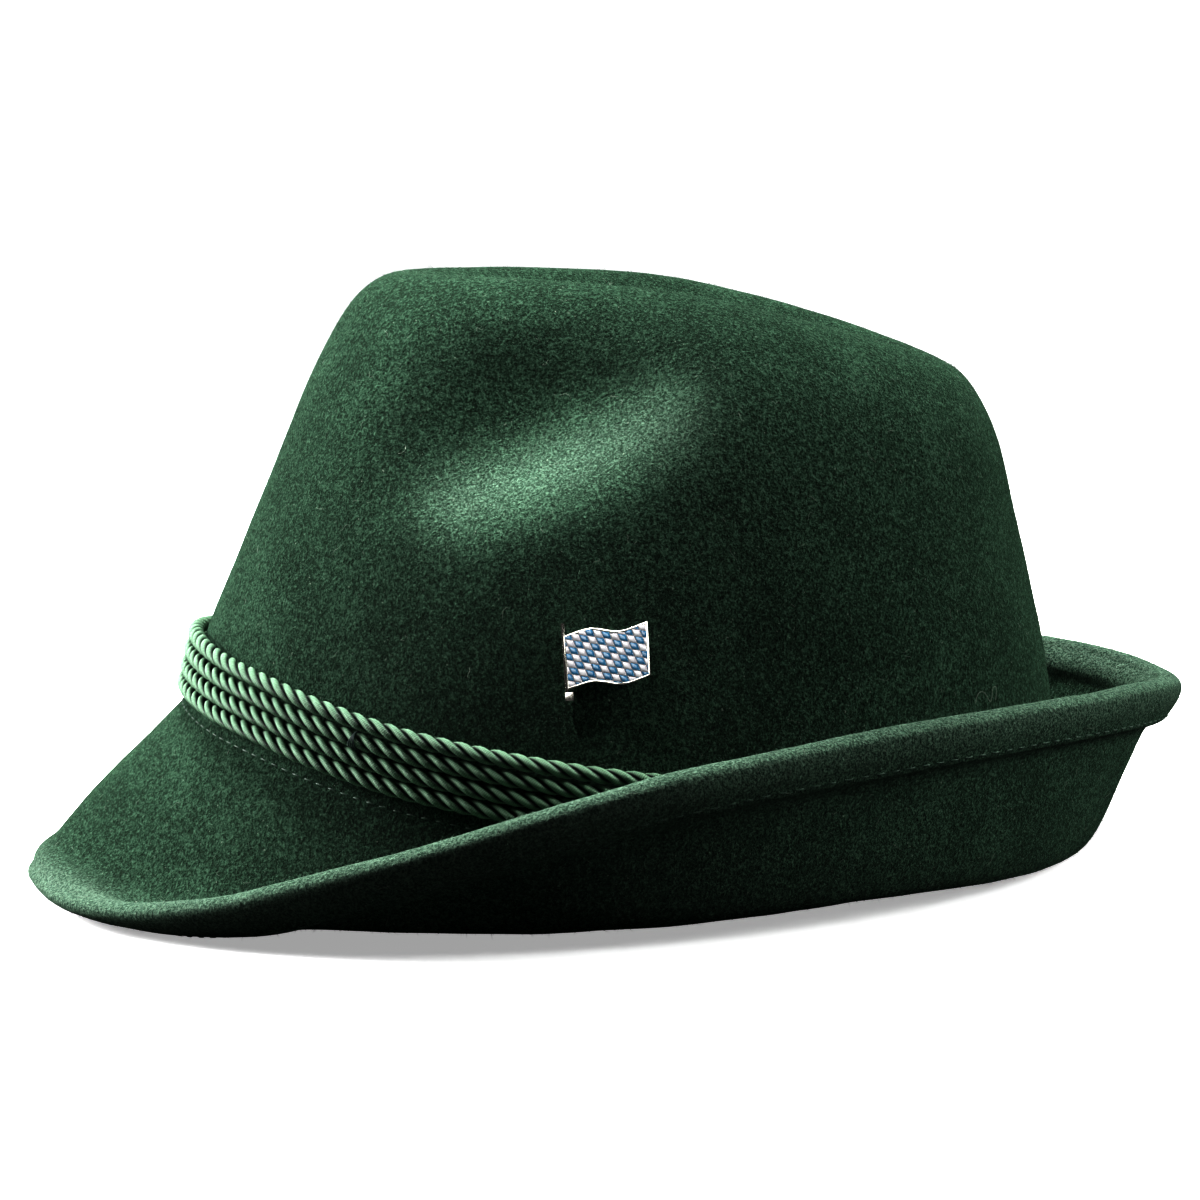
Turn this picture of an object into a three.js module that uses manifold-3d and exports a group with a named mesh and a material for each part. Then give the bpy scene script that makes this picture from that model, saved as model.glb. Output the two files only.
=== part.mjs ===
// A felt hat with a pinched crown, a brim turned down in front and up behind, four twisted cords
// round the band and a small enamelled flag pin. Millimetres, +Z up, front towards -Y, wearer's
// left side +X. The band's lowest line is called the base line.
import * as THREE from "three";
import { mergeVertices } from "three/addons/utils/BufferGeometryUtils.js";
import Module from "manifold-3d";

// Crown, measured on the outside of the felt
const headLength = 207;
const headWidth = 171.6;
const frontLift = 46.5;
const crownRise = 101.3;
const creaseDepth = 17;
const feltThick = 2.5;

// Brim: how far its edge stands out past the band, and how high the edge rises
const brimFront = 39.3;
const brimSide = 20;
const brimBack = 29.5;
const rimRise = 48;
const rimLean = 2.4;
const rimRoundness = 1.8;
const foldRound = 13;
const baseRound = 3;
const weltWidth = 8.5;
const weltFlare = 1.6;
const flatDepth = 1.9;
const restTilt = 1.41;

// Dent pressed into each side of the crown's front. pinchDepth is a share of the width there.
const pinchDepth = 0.27;
const pinchAhead = 17;
const pinchLift = 70;
const pinchLong = 54;
const pinchLow = 20;
const pinchHigh = 52;
const pinchLean = 23;

// Cords round the band
const cordCount = 4;
const cordThick = 3.75;
const clearance = 0.3;

// Flag pin on the wearer's left: its place by angle round the hat and height up the wall
const pinAngle = 82;
const pinLift = 41;
const flagLong = 19.1;
const flagTall = 12.2;
const flagPlate = 0.8;
const flagRim = 0.5;
const flagEdge = 0.45;
const enamelGap = 0.1;
const flagTilt = 2;
const poleLong = 16.6;
const poleFoot = 1.5;
const poleThick = 0.9;
const eyeletAcross = 1.9;
const postThick = 1;
const clutchThick = 3;
const clutchAcross = 9;

// Mesh fineness
const columns = 64;
const cordSides = 6;

// Round the hat, from the front (0) to the back (180). base and crest: heights as shares of
// frontLift and of the crest's front height. rim: height as a share of rimRise. foldOut: where the
// brim's fold lies between base line and rim, as a share. fold: its height as a share of rimRise.
const ROUND = [
  { at: 0, base: 1.0, crest: 1.0, foldOut: 0.72, fold: 0.41, rim: 0.12 },
  { at: 30, base: 0.9, crest: 1.0, foldOut: 0.76, fold: 0.01, rim: 0.08 },
  { at: 45, base: 0.79, crest: 0.997, foldOut: 0.74, fold: -0.005, rim: 0.14 },
  { at: 60, base: 0.67, crest: 0.993, foldOut: 0.64, fold: -0.035, rim: 0.32 },
  { at: 90, base: 0.485, crest: 0.974, foldOut: 0.46, fold: -0.045, rim: 0.735 },
  { at: 120, base: 0.385, crest: 0.92, foldOut: 0.42, fold: 0.035, rim: 0.94 },
  { at: 150, base: 0.26, crest: 0.866, foldOut: 0.32, fold: 0.035, rim: 0.975 },
  { at: 180, base: 0.19, crest: 0.838, foldOut: 0.27, fold: 0.02, rim: 0.92 },
];

// Up the crown's wall. up: share of the way from the base line to the crest. front and back:
// reach as shares of half the head's length. side: as a share of half its width.
const WALL = [
  { up: 0.0, front: 0.995, back: 1.005, side: 1.0 },
  { up: 0.15, front: 0.958, back: 1.029, side: 0.993 },
  { up: 0.28, front: 0.9, back: 1.037, side: 0.973 },
  { up: 0.5, front: 0.808, back: 0.99, side: 0.92 },
  { up: 0.72, front: 0.714, back: 0.936, side: 0.828 },
  { up: 0.84, front: 0.656, back: 0.906, side: 0.745 },
  { up: 0.92, front: 0.61, back: 0.866, side: 0.655 },
  { up: 0.97, front: 0.565, back: 0.834, side: 0.56 },
  { up: 1.0, front: 0.5, back: 0.776, side: 0.42 },
];
// Rows up the wall, as shares of the way to the crest
const WALL_ROWS = [0.07, 0.14, 0.23, 0.33, 0.42, 0.48, 0.53, 0.58, 0.64, 0.7, 0.76, 0.82, 0.88, 0.94, 0.98, 1];
// Rings of the crown's top, as shares of the crest ring
const TOP = [0.28, 0.52, 0.72, 0.88];
// Rows of the brim from its base corner to the welt, as shares of that length
const BRIM = [0.08, 0.18, 0.28, 0.38, 0.48, 0.57, 0.66, 0.76, 0.88];
// Rows of the welt from its cut edge to the rim
const WELT = [0, 0.35, 0.7, 1];
// The flag's wave: rise of its edges along its length, as a share of its height
const WAVE = [
  { at: 0, rise: 0 },
  { at: 0.33, rise: 0.12 },
  { at: 0.66, rise: 0.03 },
  { at: 1, rise: 0.17 },
];

const halfLength = headLength / 2;
const halfWidth = headWidth / 2;
const crestFront = frontLift + crownRise;
const cordPitch = cordThick + clearance;

// A smooth curve through a table's column, level at both ends when asked
function along(table, key, column, x, levelEnds) {
  const last = table.length - 1;
  let i = 0;
  while (i < last - 1 && x > table[i + 1][key]) i += 1;
  const a = table[i];
  const b = table[i + 1];
  const span = b[key] - a[key];
  const u = Math.min(1, Math.max(0, (x - a[key]) / span));
  const slope = (k) => {
    const p = table[Math.max(0, k - 1)];
    const q = table[Math.min(last, k + 1)];
    if (levelEnds && (k === 0 || k === last)) return 0;
    return (q[column] - p[column]) / (q[key] - p[key]);
  };
  const u2 = u * u;
  const u3 = u2 * u;
  return (
    (2 * u3 - 3 * u2 + 1) * a[column] +
    (u3 - 2 * u2 + u) * span * slope(i) +
    (3 * u2 - 2 * u3) * b[column] +
    (u3 - u2) * span * slope(i + 1)
  );
}

// The round table's value at an angle, the same on both sides of the hat
function round(column, angle) {
  const turn = ((angle % 360) + 360) % 360;
  return along(ROUND, "at", column, turn > 180 ? 360 - turn : turn, true);
}

const baseHeight = (angle) => frontLift * round("base", angle);
const crestHeight = (angle) => crestFront * round("crest", angle);

// A ring in plan through a front, a back and a side reach. A roundness of 2 is an ellipse.
function ring(angle, front, back, side, roundness) {
  const c = Math.cos(THREE.MathUtils.degToRad(angle));
  const s = Math.sin(THREE.MathUtils.degToRad(angle));
  const power = 2 / roundness;
  const x = side * Math.sign(s) * Math.abs(s) ** power;
  const y = (back - front) / 2 - ((front + back) / 2) * Math.sign(c) * Math.abs(c) ** power;
  return new THREE.Vector2(x, y);
}

// The two dents draw the crown's sides in
function pinched(p) {
  const lean = THREE.MathUtils.degToRad(pinchLean);
  const y = p.y + pinchAhead;
  const z = p.z - frontLift - pinchLift;
  const a = (y * Math.cos(lean) + z * Math.sin(lean)) / pinchLong;
  const rise = z * Math.cos(lean) - y * Math.sin(lean);
  const v = rise / (rise < 0 ? pinchLow : pinchHigh);
  const r = a * a + v * v;
  const share = r < 1 ? (1 - r) * (1 - r) : 0;
  p.x *= 1 - pinchDepth * share;
  return p;
}

// A point of the crown's wall
function wallPoint(angle, up) {
  const value = (column) => along(WALL, "up", column, up, false);
  const flat = ring(
    angle,
    halfLength * value("front"),
    halfLength * value("back"),
    halfWidth * value("side"),
    2,
  );
  const low = baseHeight(angle);
  const z = low + up * (crestHeight(angle) - low);
  return pinched(new THREE.Vector3(flat.x, flat.y, z));
}

// A point of the crown's top, which dips to its middle
function topPoint(angle, share) {
  const edge = WALL[WALL.length - 1];
  const flat = ring(
    angle,
    halfLength * edge.front,
    halfLength * edge.back,
    halfWidth * edge.side,
    2,
  );
  const middleY = (halfLength * (edge.back - edge.front)) / 2;
  const middleZ = crestHeight(90) - creaseDepth;
  const blend = share * share * (3 - 2 * share);
  const z = middleZ + (crestHeight(angle) - middleZ) * blend;
  return pinched(new THREE.Vector3(flat.x * share, middleY + (flat.y - middleY) * share, z));
}

// The brim's upper face from the base line to the rim, as a fine path with its fold rounded
function brimPath(angle) {
  const base = wallPoint(angle, 0);
  const plan = ring(
    angle,
    halfLength + brimFront,
    halfLength + brimBack,
    halfWidth + brimSide,
    rimRoundness,
  );
  const lean = rimLean * Math.sin(THREE.MathUtils.degToRad(angle));
  const rim = new THREE.Vector3(plan.x, plan.y, rimRise * round("rim", angle) + lean);
  const fold = base.clone().lerp(rim, round("foldOut", angle));
  fold.z = rimRise * round("fold", angle);
  const near = Math.min(foldRound, 0.48 * fold.distanceTo(base));
  const far = Math.min(foldRound * 1.3, 0.6 * fold.distanceTo(rim));
  const before = base.clone().sub(fold).setLength(near).add(fold);
  const after = rim.clone().sub(fold).setLength(far).add(fold);
  const path = new THREE.CurvePath();
  path.add(new THREE.LineCurve3(base, before));
  path.add(new THREE.QuadraticBezierCurve3(before, fold, after));
  path.add(new THREE.LineCurve3(after, rim));
  return path;
}

// One column of the outer face, from the middle of the top to the rim
function outerColumn(angle) {
  const points = [topPoint(angle, 0)];
  TOP.forEach((share) => points.push(topPoint(angle, share)));
  [...WALL_ROWS].reverse().forEach((up) => points.push(wallPoint(angle, up)));
  const brim = brimPath(angle);
  const length = brim.getLength();
  const base = brim.getPointAt(0);
  const above = wallPoint(angle, WALL_ROWS[0]).sub(base).setLength(baseRound).add(base);
  const below = brim.getPointAt(baseRound / length);
  points.push(above);
  points.push(base.multiplyScalar(2).add(above).add(below).multiplyScalar(0.25));
  points.push(below);
  const weltStart = length - weltWidth;
  BRIM.forEach((share) => {
    const d = baseRound + share * (weltStart - baseRound);
    points.push(brim.getPointAt(d / length));
  });
  WELT.forEach((share) => points.push(brim.getPointAt((weltStart + share * weltWidth) / length)));
  return points;
}

// The outer face as rows of points, each row once round the hat
function outerRows() {
  const fan = [];
  for (let c = 0; c < columns; c += 1) fan.push(outerColumn((360 * c) / columns));
  return fan[0].map((_, r) => fan.map((column) => column[r]));
}

// Outward normals of a grid of rows
function normalsOf(rows) {
  const around = (r, c) => rows[r][(c + columns) % columns];
  return rows.map((row, r) =>
    row.map((_, c) => {
      if (r === 0) return new THREE.Vector3(0, 0, 1);
      const next = rows[Math.min(r + 1, rows.length - 1)][c];
      const down = next.clone().sub(rows[r - 1][c]);
      const across = around(r, c + 1).clone().sub(around(r, c - 1));
      return down.cross(across).normalize();
    }),
  );
}

// A closed mesh from rows that start and end in one point each
function closedMesh(rows) {
  const positions = [rows[0][0]];
  for (let r = 1; r < rows.length - 1; r += 1) positions.push(...rows[r]);
  positions.push(rows[rows.length - 1][0]);
  const at = (r, c) => {
    if (r === 0) return 0;
    if (r === rows.length - 1) return positions.length - 1;
    return 1 + (r - 1) * columns + (c % columns);
  };
  const index = [];
  for (let r = 0; r < rows.length - 1; r += 1) {
    for (let c = 0; c < columns; c += 1) {
      if (r < rows.length - 2) index.push(at(r, c), at(r + 1, c), at(r + 1, c + 1));
      else index.push(at(r, c), at(r + 1, c), at(r, c + 1));
      if (r > 0 && r < rows.length - 2) index.push(at(r, c), at(r + 1, c + 1), at(r, c + 1));
    }
  }
  const geometry = new THREE.BufferGeometry().setFromPoints(positions);
  geometry.setIndex(index);
  return geometry;
}

const outer = outerRows();
const normals = normalsOf(outer);
const lastRow = outer.length - 1;
const cutRow = lastRow - WELT.length + 1;
const baseRow = cutRow - BRIM.length;

const inward = (r, c, depth) =>
  outer[r][c].clone().addScaledVector(normals[r][c], -depth);

// How thick the folded edge is: it flares a little at the back
function weltThick(c) {
  const angle = (2 * Math.PI * c) / columns;
  return 2 * feltThick + (weltFlare * (1 - Math.cos(angle))) / 2;
}

// The rounded edge, the welt's under side, its cut edge, then the rest of the inner face
function innerRows() {
  const rows = [];
  const every = (make) => rows.push(outer[0].map((_, c) => make(c)));
  [45, 90, 135].forEach((turn) => {
    const a = THREE.MathUtils.degToRad(turn);
    every((c) => {
      const r = feltThick;
      const ahead = outer[lastRow][c].clone().sub(outer[lastRow - 1][c]).normalize();
      return inward(lastRow, c, r - r * Math.cos(a)).addScaledVector(ahead, r * Math.sin(a));
    });
  });
  for (let r = lastRow; r >= cutRow; r -= 1) {
    const share = (lastRow - r) / (lastRow - cutRow);
    every((c) => inward(r, c, 2 * feltThick + (weltThick(c) - 2 * feltThick) * share));
  }
  for (let r = cutRow; r > 0; r -= r > baseRow ? 1 : 2) {
    every((c) => inward(r, c, feltThick));
  }
  every((c) => inward(0, c, feltThick));
  return rows;
}

// The hat tilts back until the brim rests in front and behind, and the felt is flattened a
// little where it rests, on the plane z = 0
const inner = innerRows();
const settle = new THREE.Matrix4().makeRotationX(-THREE.MathUtils.degToRad(restTilt));
const feltPoints = [...new Set([...outer, ...inner].flat())];
feltPoints.forEach((p) => p.applyMatrix4(settle));
const drop = Math.min(...feltPoints.map((p) => p.z)) + flatDepth;
settle.premultiply(new THREE.Matrix4().makeTranslation(0, 0, -drop));
feltPoints.forEach((p) => {
  p.z = Math.max(0, p.z - drop);
});

// Where a thing sits on the wall: the point a distance up from the base line, the way round the
// hat, the way up the wall and the way out
function wallSeat(angle, distance) {
  const base = wallPoint(angle, 0);
  let up = distance / crownRise;
  for (let i = 0; i < 5; i += 1) up *= distance / wallPoint(angle, up).distanceTo(base);
  const point = wallPoint(angle, up);
  const across = wallPoint(angle + 1, up).sub(wallPoint(angle - 1, up));
  const out = across.cross(wallPoint(angle, up + 0.02).sub(point)).normalize();
  point.applyMatrix4(settle);
  out.transformDirection(settle);
  const around = new THREE.Vector3(0, 0, 1).cross(out).normalize();
  return { point, around, rise: out.clone().cross(around), out };
}

// A closed cord round the band, lying a clearance off the felt
class CordRing extends THREE.Curve {
  constructor(number) {
    super();
    this.distance = clearance + (number - 0.5) * (cordThick + clearance);
  }

  getPoint(t, target = new THREE.Vector3()) {
    const seat = wallSeat(360 * t, this.distance);
    return target.copy(seat.point).addScaledVector(seat.out, cordThick / 2 + clearance);
  }
}

// The flag's waved outline, drawn in from its edge by an inset
function flagShape(inset) {
  const steps = 12;
  const low = [];
  const high = [];
  for (let i = 0; i <= steps; i += 1) {
    const x = inset + ((flagLong - 2 * inset) * i) / steps;
    const wave = flagTall * along(WAVE, "at", "rise", x / flagLong, false);
    low.push(new THREE.Vector2(x, wave + inset));
    high.unshift(new THREE.Vector2(x, wave + flagTall - inset));
  }
  return new THREE.Shape([...low, ...high]);
}

function slab(shape, from, to) {
  const options = { depth: to - from, bevelEnabled: false };
  return new THREE.ExtrudeGeometry(shape, options).translate(0, 0, from);
}

// A round bar along z
function bar(across, from, to, sides) {
  const geometry = new THREE.CylinderGeometry(across / 2, across / 2, to - from, sides);
  return geometry.rotateX(Math.PI / 2).translate(0, 0, (from + to) / 2);
}

const wasm = await Module();
wasm.setup();

function solidOf(geometry) {
  const bare = geometry.clone().deleteAttribute("normal").deleteAttribute("uv");
  const merged = mergeVertices(bare, 1e-4);
  const mesh = new wasm.Mesh({
    numProp: 3,
    vertProperties: merged.attributes.position.array,
    triVerts: new Uint32Array(merged.index.array),
  });
  return new wasm.Manifold(mesh);
}

function geometryOf(solid) {
  const mesh = solid.getMesh();
  const positions = new Float32Array(mesh.numVert * 3);
  for (let i = 0; i < mesh.numVert; i += 1) {
    const from = i * mesh.numProp;
    positions.set(mesh.vertProperties.subarray(from, from + 3), i * 3);
  }
  const geometry = new THREE.BufferGeometry();
  geometry.setAttribute("position", new THREE.BufferAttribute(positions, 3));
  geometry.setIndex(new THREE.BufferAttribute(mesh.triVerts, 1));
  return geometry;
}

// The pin is made in its own frame, the flag's middle at the origin and its face towards +z, and
// then set on the wall
const seat = wallSeat(pinAngle, pinLift);
const setOnWall = new THREE.Matrix4()
  .makeBasis(seat.around, seat.rise, seat.out)
  .setPosition(seat.point);
const middle = along(WAVE, "at", "rise", 0.5, false) * flagTall + flagTall / 2;
const backFace = clearance;
const trayFace = backFace + flagPlate;
const topFace = trayFace + flagRim;
const boreAcross = postThick + 2 * clearance;
const clutchTop = -feltThick - 2 * clearance;
const clutchFoot = clutchTop - clutchThick;

function flagMetal() {
  const plate = solidOf(slab(flagShape(0), backFace, topFace));
  const tray = solidOf(slab(flagShape(flagEdge), trayFace, topFace + 1));
  const pole = bar(poleThick, 0, poleLong, 8).rotateX(-Math.PI / 2);
  const poleZ = backFace + poleThick / 2;
  pole.translate(0, -poleFoot, poleZ);
  const eyelet = new THREE.BoxGeometry(eyeletAcross, eyeletAcross, poleThick);
  eyelet.translate(eyeletAcross / 4, -poleFoot, poleZ);
  const post = bar(postThick, clutchFoot - clearance, trayFace, 10);
  post.translate(flagLong / 2, middle, 0);
  return plate.subtract(tray).add(solidOf(pole)).add(solidOf(eyelet)).add(solidOf(post));
}

function clutch() {
  const disc = solidOf(bar(clutchAcross, clutchFoot, clutchTop, 16));
  return disc.subtract(solidOf(bar(boreAcross, clutchFoot - 1, clutchTop + 1, 10)));
}

function onWall(geometry) {
  geometry.translate(-flagLong / 2, -middle, 0);
  return geometry.rotateZ(THREE.MathUtils.degToRad(flagTilt)).applyMatrix4(setOnWall);
}
const bore = bar(boreAcross, -2 * feltThick, feltThick, 10).applyMatrix4(setOnWall);
const felt = solidOf(closedMesh([...outer, ...inner])).subtract(solidOf(bore));

const group = new THREE.Group();
function addMesh(name, geometry, color) {
  const mesh = new THREE.Mesh(geometry, new THREE.MeshStandardMaterial({ color }));
  mesh.name = name;
  group.add(mesh);
}

addMesh("felt_body", geometryOf(felt), 0x1c3b2a);
for (let number = 1; number <= cordCount; number += 1) {
  const tube = new THREE.TubeGeometry(new CordRing(number), columns, cordThick / 2, cordSides, true);
  addMesh(`cord_${number}`, tube, 0x2e5a42);
}
addMesh("flag_plate", onWall(geometryOf(flagMetal())), 0xc4c7cc);
const enamel = slab(flagShape(flagEdge + enamelGap), trayFace + enamelGap, topFace);
addMesh("flag_enamel", onWall(enamel), 0x2f6fb0);
addMesh("pin_clutch", geometryOf(clutch()).applyMatrix4(setOnWall), 0xc4c7cc);

// The middle of the whole stands on the origin
const box = new THREE.Box3().setFromObject(group);
group.position.y = -(box.min.y + box.max.y) / 2;

export default group;
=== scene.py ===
import math

import bpy
import numpy as np
from mathutils import Matrix, Vector
from mathutils.bvhtree import BVHTree


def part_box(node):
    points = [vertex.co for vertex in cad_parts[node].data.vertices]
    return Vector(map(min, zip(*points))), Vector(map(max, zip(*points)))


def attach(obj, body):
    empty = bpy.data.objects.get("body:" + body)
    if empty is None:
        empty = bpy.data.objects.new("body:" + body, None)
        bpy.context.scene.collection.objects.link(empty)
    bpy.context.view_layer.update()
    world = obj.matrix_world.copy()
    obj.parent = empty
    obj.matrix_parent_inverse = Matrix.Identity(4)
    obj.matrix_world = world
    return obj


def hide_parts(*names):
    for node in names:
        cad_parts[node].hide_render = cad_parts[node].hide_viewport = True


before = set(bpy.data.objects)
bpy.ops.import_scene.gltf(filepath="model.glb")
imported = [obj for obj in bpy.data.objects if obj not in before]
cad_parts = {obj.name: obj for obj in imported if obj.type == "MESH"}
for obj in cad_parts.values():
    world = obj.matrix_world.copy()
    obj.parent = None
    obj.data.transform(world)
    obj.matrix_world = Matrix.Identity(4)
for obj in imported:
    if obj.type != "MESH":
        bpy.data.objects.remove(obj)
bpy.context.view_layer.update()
MM = 0.001
TURN = 2 * math.pi

# Camera
CAMERA_PLACE = (1.0391, -0.0481, 0.2083)
CAMERA_RIGHT = (0.05234, 0.99782, -0.04017)
CAMERA_UP = (-0.13381, 0.04686, 0.98990)
CAMERA_LENS = 129.15

# Spot light on the dent's lower edge: its place and where it points
DENT_SPOT = (0.060, -0.300, 0.950)
DENT_MIDDLE = (0.059, -0.022, 0.114)

# Cords: plies in each, their size and how far one turn of the twist runs
PLIES = 3
PLY_RADIUS = 0.90 * MM
PLY_OFFSET = 1.06 * MM
TWIST_LENGTH = 13.3 * MM
STEPS_A_TURN = 15
THREAD_PHASE = 14.5  # radians a millimetre along the ply
PLY_SIDES = 9

CORD_RADIUS = PLY_OFFSET + PLY_RADIUS
TIE_PLACE = (0.0800, -0.0663, 0.0489)
TIE_PITCH = 0.55 * MM

# Stitches
STITCH_THICK = 0.34 * MM
BAND_STITCH = 2.3 * MM
BAND_STITCH_PITCH = 3.6 * MM
BAND_STITCH_OUT = 1.5 * MM
BAND_STITCH_DOWN = 4.4 * MM
WELT_STITCH = 2.2 * MM
WELT_STITCH_PITCH = 4.0 * MM

# A stitch's rings: share along it, height and size in half thicknesses
STITCH_RINGS = [
    (-0.5, -0.6, 0.7),
    (-0.38, 0.25, 1),
    (0, 0.5, 1),
    (0.38, 0.25, 1),
    (0.5, -0.6, 0.7),
]
STITCH_LINE = 3000

# Round the brim from the front, in mm: the welt's stitch line on the outer face, and the rim
WELT = [
    {"stitch": (0.1, -132.3, 10.2), "rim": (0.0, -140.3, 8.4)},
    {"stitch": (33.6, -120.8, 4.0), "rim": (36.4, -128.8, 7.4)},
    {"stitch": (71.8, -92.9, 1.2), "rim": (72.0, -96.2, 10.0)},
    {"stitch": (100.0, -49.6, 15.2), "rim": (96.9, -49.5, 23.1)},
    {"stitch": (109.5, -1.1, 29.2), "rim": (105.8, -1.7, 37.0)},
    {"stitch": (100.8, 47.5, 36.1), "rim": (96.9, 45.9, 43.8)},
    {"stitch": (75.7, 94.5, 37.5), "rim": (72.0, 92.4, 45.4)},
    {"stitch": (39.1, 127.2, 35.1), "rim": (36.4, 124.8, 43.4)},
    {"stitch": (0.1, 138.8, 31.3), "rim": (0.0, 136.3, 40.0)},
    {"stitch": (-39.0, 127.1, 33.3), "rim": (-36.4, 124.7, 41.6)},
    {"stitch": (-75.5, 94.3, 34.1), "rim": (-72.0, 92.3, 42.0)},
    {"stitch": (-100.6, 47.4, 31.6), "rim": (-96.9, 45.8, 39.4)},
    {"stitch": (-109.2, -1.1, 24.3), "rim": (-105.8, -1.8, 32.2)},
    {"stitch": (-99.6, -49.3, 10.6), "rim": (-96.9, -49.6, 18.7)},
    {"stitch": (-69.4, -90.7, 0.6), "rim": (-72.0, -96.3, 6.6)},
    {"stitch": (-33.4, -120.7, 3.4), "rim": (-36.4, -128.8, 5.5)},
]
WELT_ROLL = 2.2 * MM
WELT_REACH = 9.0 * MM
WELT_RISE = 0.15
RIM_STEPS = 720
RIM_BATCH = 24
# How far the painted highlight along the rim reaches
RIM_HIGHLIGHT_REACH = 5.5 * MM

# The lower edge of the dent in the crown's side, and how far the painted highlight along it reaches
DENT_EDGE = ((0.062, -0.034, 0.101), (0.061, 0.014, 0.113))
DENT_HIGHLIGHT_REACH = 11 * MM

# Height of the felt's unevenness, and the distance at which CAD corners merge
UNEVEN = 0.9 * MM
MERGE = 0.002 * MM

# Flag pin: tilt in the felt's face, and its enamel lozenges
FLAG_TILT = 2.0
LOZENGE_ALONG = (1.86 * MM, -0.41 * MM)
LOZENGE_UP = (-0.57 * MM, 1.68 * MM)
LOZENGE_GROOVE = 0.20 * MM
LOZENGE_DOME = 0.12 * MM
ENAMEL_OVER_RIM = 0.16 * MM
ENAMEL_BED = 0.08 * MM
GROOVE_HEIGHT = 0.3
LEAST_CELL = 0.10 * MM * MM

# Rings of an enamel cell: share of its height and of its size
CELL_RINGS = [(0, 1.0), (0.55, 1.0), (0.84, 0.94), (0.96, 0.84), (0.99, 0.45)]

# Felt fibres, straight and curled. width: at the root. lift: how far the steepest stand off
FIBRES = [
    {
        "name": "fuzz_dark",
        "count": 30000,
        "least": 0.7 * MM,
        "most": 2.0 * MM,
        "width": 0.09 * MM,
        "lift": 0.75,
        "colour": (0.030, 0.066, 0.045),
        "seed": 11,
    },
    {
        "name": "fuzz_light",
        "count": 26000,
        "least": 0.6 * MM,
        "most": 1.8 * MM,
        "width": 0.08 * MM,
        "lift": 0.85,
        "colour": (0.215, 0.330, 0.240),
        "seed": 12,
    },
]
HAIRS = {
    "name": "loose_hairs",
    "count": 1100,
    "least": 1.2 * MM,
    "most": 4.4 * MM,
    "width": 0.075 * MM,
    "colour": (0.36, 0.42, 0.35),
    "seed": 31,
}
HAIR_STEPS = 6
FIBRE_ABOVE_FLOOR = 0.2 * MM
FELT_ABOVE_FLOOR = 1.2 * MM

# One long curled hair, as points of a picture 1200 wide and tall
PICTURE = 1200
SENSOR = 36
HAIR_SEEN = [
    (974, 703),
    (975, 694),
    (981, 689),
    (986, 697),
    (989, 704),
    (991, 695),
    (990, 687),
    (996, 684),
    (994, 700),
]
HAIR_OFF = 0.45 * MM
HAIR_RADIUS = 0.07 * MM


# Shader sums


class Wire:
    """A node's output that takes part in Python sums."""

    def __init__(self, recipe, socket):
        self.recipe = recipe
        self.socket = socket

    def sum(self, operation, first, second=0.0):
        return self.recipe.node("ShaderNodeMath", {"operation": operation}, {0: first, 1: second})

    def __add__(self, other):
        return self.sum("ADD", self, other)

    __radd__ = __add__

    def __sub__(self, other):
        return self.sum("SUBTRACT", self, other)

    def __rsub__(self, other):
        return self.sum("SUBTRACT", other, self)

    def __mul__(self, other):
        return self.sum("MULTIPLY", self, other)

    __rmul__ = __mul__

    def __abs__(self):
        return self.sum("ABSOLUTE", self)

    def sine(self):
        return self.sum("SINE", self)

    def between(self, low, high):
        """0 at low, 1 at high, smooth in between."""
        return self.recipe.node(
            "ShaderNodeMapRange",
            {"interpolation_type": "SMOOTHSTEP"},
            {"Value": self, "From Min": low, "From Max": high},
        )


class Recipe:
    """A material and the nodes that give its colour, roughness and relief."""

    def __init__(self, name, **fixed):
        self.material = bpy.data.materials.new(name)
        self.material.use_nodes = True
        self.tree = self.material.node_tree
        self.shader = self.tree.nodes["Principled BSDF"]
        for socket, value in fixed.items():
            self.shader.inputs[socket.replace("_", " ")].default_value = value

    def node(self, kind, settings=None, inputs=None, output=0):
        made = self.tree.nodes.new(kind)
        for key, value in (settings or {}).items():
            if key == "stops":
                while len(made.color_ramp.elements) < len(value):
                    made.color_ramp.elements.new(1.0)
                for stop, (place, colour) in zip(made.color_ramp.elements, value):
                    stop.position = place
                    stop.color = (*colour, 1.0)
            else:
                setattr(made, key, value)
        for key, value in (inputs or {}).items():
            socket = made.inputs[key]
            if isinstance(value, Wire):
                self.tree.links.new(value.socket, socket)
            else:
                socket.default_value = value
        return Wire(self, made.outputs[output])

    def place(self):
        return self.node("ShaderNodeTexCoord", output="Object")

    def noise(self, where, scale, detail=2.0, roughness=0.5, distortion=0.0):
        return self.node(
            "ShaderNodeTexNoise",
            {},
            {
                "Vector": where,
                "Scale": scale,
                "Detail": detail,
                "Roughness": roughness,
                "Distortion": distortion,
            },
        )

    def mix(self, share, first, second):
        first = first if isinstance(first, Wire) else (*first, 1.0)
        second = second if isinstance(second, Wire) else (*second, 1.0)
        return self.node(
            "ShaderNodeMix",
            {"data_type": "RGBA"},
            {"Factor": share, 6: first, 7: second},
            output=2,
        )

    def relief(self, height, strength, distance):
        normal = self.node(
            "ShaderNodeBump", {}, {"Height": height, "Strength": strength, "Distance": distance}
        )
        self.feed("Normal", normal)

    def feed(self, socket, wire):
        self.tree.links.new(wire.socket, self.shader.inputs[socket])


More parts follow.
